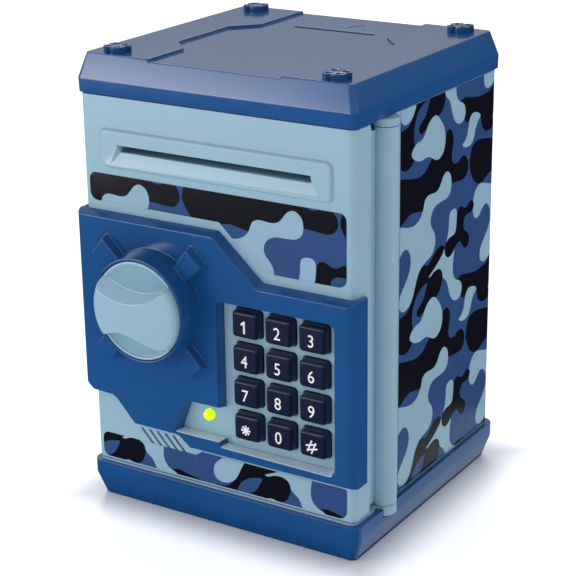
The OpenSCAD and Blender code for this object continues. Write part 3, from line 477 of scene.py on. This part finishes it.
LIGHT_PATCHES = [
    [(-33, 121), (-32, 125), (-29.5, 127.8), (-26.5, 128.8), (-23, 128.2), (-18, 126.8), (-13, 126.4), (-9, 127.8),
     (-6.5, 130.3), (-5.5, 132.7), (-4.6, 134.4), (-2.5, 135.5), (0, 135.6), (4, 135.3), (7, 136.2), (9, 138.2),
     (11, 140.5), (14, 141.5), (17, 139.5), (18, 136), (17.4, 132.7), (15.2, 130.8), (12, 130.2), (6, 130), (3, 129),
     (1, 127), (0.3, 124.5), (1, 122), (2.7, 120), (4.3, 117.5), (4.6, 114.5), (3.3, 111.5), (0.7, 109.6), (-3, 108.6),
     (-7, 107.4), (-10, 104.7), (-12, 101.2), (-13.5, 98), (-15.5, 95.3), (-18.5, 93.6), (-22, 93.3), (-24.6, 95),
     (-25.3, 98), (-24.2, 101), (-21, 104), (-17.7, 107.5), (-16, 111.5), (-16.7, 115.5), (-19.2, 118.2), (-22, 118.5),
     (-24.8, 116.8), (-27.2, 114.9), (-30, 114.7), (-32.3, 117)],
    [(29.3, 162.5), (28.7, 165), (26.7, 166.8), (23.8, 168), (21.5, 170.3), (20.7, 173), (20.9, 177), (21.6, 180.5),
     (21, 182.5), (17, 182), (14.3, 183), (12.7, 184.3), (11.5, 183), (9, 181.2), (5, 179), (1, 177.2), (-0.5, 176.4),
     (1, 176.1), (4, 177.2), (8, 177.3), (10.7, 175.6), (11.6, 173), (13, 171.6), (15, 170), (16.6, 167), (18, 163.7),
     (20, 160.9), (22.5, 159.2), (25.5, 158.7), (28.2, 159.8)],
    [(-16.2, 155.3), (-15, 157.3), (-12, 158.9), (-8, 159.4), (-5.5, 161), (-3.5, 163.5), (-1, 165.6), (2.5, 166.7),
     (5.5, 165.8), (8, 163.5), (10.5, 160.5), (11.8, 157), (11.8, 153.5), (10.3, 150.3), (7.5, 148.6), (4.5, 148.5),
     (1.8, 149.6), (-1, 151), (-4, 151.4), (-8, 151.2), (-12, 152), (-15, 153.6)],
    [(27.2, 149.3), (29, 148), (32, 147.4), (35.5, 148), (37.7, 150.3), (39, 153.5), (40.8, 156), (43.2, 157.7),
     (42, 159.3), (39, 160.3), (36, 160.5), (33.7, 159), (32.4, 156), (31.5, 152.8), (29.5, 150.6)],
    [(16.5, 121), (17.2, 123.3), (19.5, 124.2), (22, 123.9), (23.3, 122), (23.3, 118.5), (22.8, 115), (21.8, 112),
     (18, 111), (14.6, 111.5), (15.8, 115), (16.4, 118)]]
CROSS_PATCHES = [
    [(23.7, 121.5), (25, 123.3), (27, 123.7), (29, 122.8), (31, 122), (33, 122.4), (35, 123.6), (37, 123.6),
     (38.8, 122), (38.6, 120), (36.5, 118.8), (33, 118.7), (30.5, 117.5), (29.8, 115), (30.5, 112.8), (33, 111),
     (35, 109), (35.2, 106.5), (33.5, 104.7), (31, 104.7), (29, 106.3), (27.5, 108.2), (25.5, 108.7), (22.5, 107.5),
     (19.5, 105.2), (16.5, 104.7), (14, 106), (13, 108.5), (13.8, 111), (16, 112.5), (19, 113), (21.5, 113.3),
     (22.8, 115), (23.3, 118)]]
DARK, MID, PALE = range(3)
PRINTED = [(curve(p), colour) for group, colour in ((CROSS_PATCHES, DARK), (LIGHT_PATCHES, PALE), (DARK_PATCHES, DARK))
           for p in group]


def inside(p, outline):
    hit = False
    for i, b in enumerate(outline):
        a = outline[i - 1]
        if (a[1] > p[1]) != (b[1] > p[1]) and p[0] < a[0] + (b[0] - a[0]) * (p[1] - a[1]) / (b[1] - a[1]):
            hit = not hit
    return hit


def make_film(name, outline, shift, place, creases, thick, body, node):
    """A printed film: the camouflage pattern, moved by shift, cut to the outline and laid on a surface by place."""
    lo = [min(p[i] for p in outline) for i in (0, 1)]
    hi = [max(p[i] for p in outline) for i in (0, 1)]
    patches = []
    for shape, colour in PRINTED:
        box = [min(p[0] for p in shape), max(p[0] for p in shape), min(p[1] for p in shape), max(p[1] for p in shape)]
        for i in range(-6, 7):
            for j in range(-4, 4):
                dx, dz = shift[0] + i * TILE_W, shift[1] + j * TILE_H
                if box[0] + dx < hi[0] and box[1] + dx > lo[0] and box[2] + dz < hi[1] and box[3] + dz > lo[1]:
                    patches.append(([(x + dx, z + dz) for x, z in shape], colour, box[0] + dx, box[1] + dx))
    verts, edges = [], []
    for loop in [outline] + [p[0] for p in patches]:
        start, n = len(verts), len(loop)
        verts += loop
        edges += [(start + i, start + (i + 1) % n) for i in range(n)]
    for u in creases:
        edges.append((len(verts), len(verts) + 1))
        verts += [(u, lo[1] - 1), (u, hi[1] + 1)]
    verts, _, faces, _, _, _ = delaunay_2d_cdt([Vector(v) for v in verts], edges, [], 0, 1e-4)
    kept, colours = [], []
    order = {DARK: 0, PALE: 1}
    for f in faces:
        c = sum((verts[i] for i in f), Vector((0, 0))) / 3
        if not inside(c, outline):
            continue
        kept.append(tuple(f))
        colours.append(next((k for shape, k, a, b in patches if a < c.x < b and inside(c, shape)), MID))
    used = sorted(set(i for f in kept for i in f))
    index = {v: k for k, v in enumerate(used)}
    data = bpy.data.meshes.new(name)
    data.from_pydata([tuple(c * MM for c in place(*verts[i])) for i in used], [], [tuple(index[i] for i in f) for f in kept])
    for m in FILM:
        data.materials.append(m)
    for p, k in zip(data.polygons, colours):
        p.material_index, p.use_smooth = k, True
    obj = bpy.data.objects.new(name, data)
    bpy.context.scene.collection.objects.link(obj)
    solid = obj.modifiers.new("thickness", "SOLIDIFY")
    solid.thickness, solid.offset = thick * MM, -1
    obj.modifiers.new("normals", "WEIGHTED_NORMAL").keep_sharp = False
    dress(obj, body, FILM[MID], [node], 0)


def make_films():
    def flat(x, z):
        return x, -59.15, z

    upper = rounded([(-59.5, 131.2), (2.6, 130.9), (20.6, 113.8), (59, 113.8), (59, 142.7), (-59.5, 142.7)],
                    [3.5, 2, 1, 3.5, 3, 3], 5)
    lower = rounded([(-59.5, 18.4), (59, 18.4), (59, 31.4), (-9, 31.4), (-12, 29.4), (-59.5, 29.4)],
                    [3, 3.5, 1, 0.5, 0.5, 3], 5)
    make_film("upper_film_print", upper, (22.5, -1), flat, [], 0.14, "door", "upper_camo_film")
    make_film("lower_film_print", lower, (22, -147.8), flat, [], 0.14, "door", "lower_camo_film")

    # the wrap runs along the right side, round the back and along the left side
    r, side, back = 4.7, 62.9, 59.2
    bend, across = r * math.pi / 2, 2 * (side - r)
    s1 = back - r
    s2, s3 = s1 + bend, s1 + bend + across
    s4 = s3 + bend

    def wrapped(s, z):
        if s <= s1:
            return side, s, z
        if s <= s2:
            a = (s - s1) / r
            return side - r + r * math.cos(a), s1 + r * math.sin(a), z
        if s <= s3:
            return side - r - (s - s2), back, z
        if s <= s4:
            a = (s - s3) / r
            return -(side - r) - r * math.sin(a), s1 + r * math.cos(a), z
        return -side, s1 - (s - s4), z

    creases = [a + bend * k / 6 for a in (s1, s3) for k in range(7)]
    end = s4 + s1 + 41
    make_film("wrap_print", [(-25, 16.8), (end, 16.8), (end, 174.4), (-25, 174.4)], (0, 0), wrapped, creases, 0.19,
              "cabinet", "camo_wrap")


# ---------------------------------------------------------------- carried-over CAD parts

def finish_frame_parts():
    plain = {
        "light_plastic": (LIGHT, 0.25, ["body_shell", "door_back", "battery_cover", "note_guide"]),
        "blue_plastic": (BLUE, 0.25, ["corner_studs"]),
        "steel": (STEEL, 0.1, ["hinge_pins", "base_screws", "lid_screws", "door_screws", "board_screws", "feed_screws",
                               "solenoid_screws", "battery_cover_screw", "lever_screw", "battery_contacts",
                               "feed_motor", "feed_shaft", "pinch_shaft", "lock_plunger"]),
        "black_plastic": (BLACK, 0.2, ["speaker", "feed_frame", "knob_spindle", "lock_solenoid"]),
        "gear_plastic": (CREAM, 0.12, ["motor_pinion", "feed_gear", "lock_cam", "latch_lever"]),
        "rubber": (RUBBER, 0.25, ["feed_rollers", "pinch_rollers"]),
        "silicone": (SILICONE, 0.1, ["keypad_membrane"]),
        "board": (BOARD, 0.1, ["circuit_board"]),
        "battery": (SLEEVE, 0.3, ["batteries"])}
    for slot, (paint, edge, names) in plain.items():
        for n in names:
            o = NODES[n]
            o.data.materials.clear()
            o.data.materials.append(paint)
            soften(o, edge, 30, 2, weld=True)


# ---------------------------------------------------------------- set, light and camera

def panel(direction, distance, width, height, power, diffuse=True, glossy=True):
    """A soft box that faces the object from that direction."""
    centre, d = Vector((0, 0, 0.09)), Vector(direction).normalized()
    data = bpy.data.lights.new("softbox", "AREA")
    data.shape, data.size, data.size_y = "RECTANGLE", width, height
    data.energy = power * width * height
    lamp = bpy.data.objects.new("softbox", data)
    lamp.location = centre + d * distance
    lamp.rotation_euler = d.to_track_quat("Z", "Y").to_euler()
    lamp.visible_camera, lamp.visible_diffuse, lamp.visible_glossy = False, diffuse, glossy
    bpy.context.scene.collection.objects.link(lamp)


def paper():
    """White paper on a light table, a little darker under the edge of the object: a painted shadow, its glow fading out
    near the footprint.
    """
    mat = material("paper", linear(246, 248, 253), 0.22, 0.004, 3, 300, 0.01)
    nodes, links = mat.node_tree.nodes, mat.node_tree.links
    shader, place, split = nodes["Principled BSDF"], nodes.new("ShaderNodeTexCoord"), nodes.new("ShaderNodeSeparateXYZ")
    links.new(place.outputs["Object"], split.inputs["Vector"])
    far = []
    for axis, half in (("X", 0.0615), ("Y", 0.0574)):
        size = nodes.new("ShaderNodeMath")
        size.operation = "ABSOLUTE"
        links.new(split.outputs[axis], size.inputs[0])
        gap = nodes.new("ShaderNodeMath")
        gap.operation = "SUBTRACT"
        gap.inputs[1].default_value = half
        links.new(size.outputs[0], gap.inputs[0])
        far.append(gap.outputs[0])
    most = nodes.new("ShaderNodeMath")
    most.operation = "MAXIMUM"
    links.new(far[0], most.inputs[0])
    links.new(far[1], most.inputs[1])
    # emission fades to nothing near the object's footprint: a painted contact shadow
    painted_shadow_glow = nodes.new("ShaderNodeMapRange")
    painted_shadow_glow.interpolation_type = "SMOOTHSTEP"
    painted_shadow_glow.inputs["From Max"].default_value = 0.024
    painted_shadow_glow.inputs["To Min"].default_value, painted_shadow_glow.inputs["To Max"].default_value = 0.0, 0.55
    links.new(most.outputs[0], painted_shadow_glow.inputs["Value"])
    links.new(painted_shadow_glow.outputs["Result"], shader.inputs["Emission Strength"])
    shader.inputs["Emission Color"].default_value = (0.97, 0.985, 1, 1)
    return mat


def card():
    """A white sheet beside the object, there for its reflections only."""
    mat = bpy.data.materials.new("card")
    mat.use_nodes = True
    shader = mat.node_tree.nodes["Principled BSDF"]
    shader.inputs["Base Color"].default_value = (0, 0, 0, 1)
    shader.inputs["Emission Color"].default_value = (0.85, 0.93, 1, 1)
    shader.inputs["Emission Strength"].default_value = 0.5
    mat.cycles.emission_sampling = "NONE"
    sheet = mesh("card", [slab([(62.5, -58), (95, -58), (95, 100), (62.5, 100)], -1.5, -0.5)])
    sheet.data.materials.append(mat)
    sheet.visible_camera = sheet.visible_diffuse = sheet.visible_shadow = False


def make_set():
    card()
    floor = mesh("floor", [slab(block(30000, 30000), -20, 0)])
    floor.visible_glossy = False
    floor.data.materials.append(paper())

    world = bpy.context.scene.world or bpy.data.worlds.new("world")
    bpy.context.scene.world = world
    world.use_nodes = True
    nodes, links = world.node_tree.nodes, world.node_tree.links
    place, split, ramp = (nodes.new(k) for k in ("ShaderNodeTexCoord", "ShaderNodeSeparateXYZ", "ShaderNodeValToRGB"))
    links.new(place.outputs["Generated"], split.inputs["Vector"])
    links.new(split.outputs["Z"], ramp.inputs["Fac"])
    links.new(ramp.outputs["Color"], nodes["Background"].inputs["Color"])
    low, high = ramp.color_ramp.elements
    low.position, low.color = 0.06, (0.03, 0.03, 0.035, 1)
    high.position, high.color = 0.23, (0.95, 0.97, 1, 1)
    nodes["Background"].inputs["Strength"].default_value = 0.66

    panel((-0.72, -0.69, 0.12), 1.5, 0.95, 0.9, 8.5)
    panel((-0.5, 0.62, 0.6), 1.5, 0.6, 0.6, 11)
    panel((0.54, 0.8, 0.27), 1.5, 0.5, 0.5, 9, glossy=False)
    panel((-0.5, -0.85, 0.16), 1.5, 0.9, 0.4, 14, diffuse=False)


def make_camera():
    az, el, roll, away = math.radians(31.986), math.radians(19.336), math.radians(-0.692), 0.7129
    back = Vector((math.sin(az) * math.cos(el), -math.cos(az) * math.cos(el), math.sin(el)))
    right = Vector((math.cos(az), math.sin(az), 0))
    up = back.cross(right)
    right, up = right * math.cos(roll) + up * math.sin(roll), up * math.cos(roll) - right * math.sin(roll)
    data = bpy.data.cameras.new("camera")
    data.lens, data.sensor_width, data.shift_x, data.shift_y = 106.16, 36, -0.01343, -0.01808
    data.clip_start = 0.02
    camera = bpy.data.objects.new("camera", data)
    camera.matrix_world = Matrix.Translation(Vector((0, 0, 0.09)) + back * away) @ Matrix((right, up, back)).transposed().to_4x4()
    bpy.context.scene.collection.objects.link(camera)
    bpy.context.scene.camera = camera
    bpy.context.scene.view_settings.view_transform = "Standard"


make_lid()
make_base()
make_door()
make_bezel()
make_knob()
make_keys()
make_lens()
make_films()
finish_frame_parts()
make_set()
make_camera()
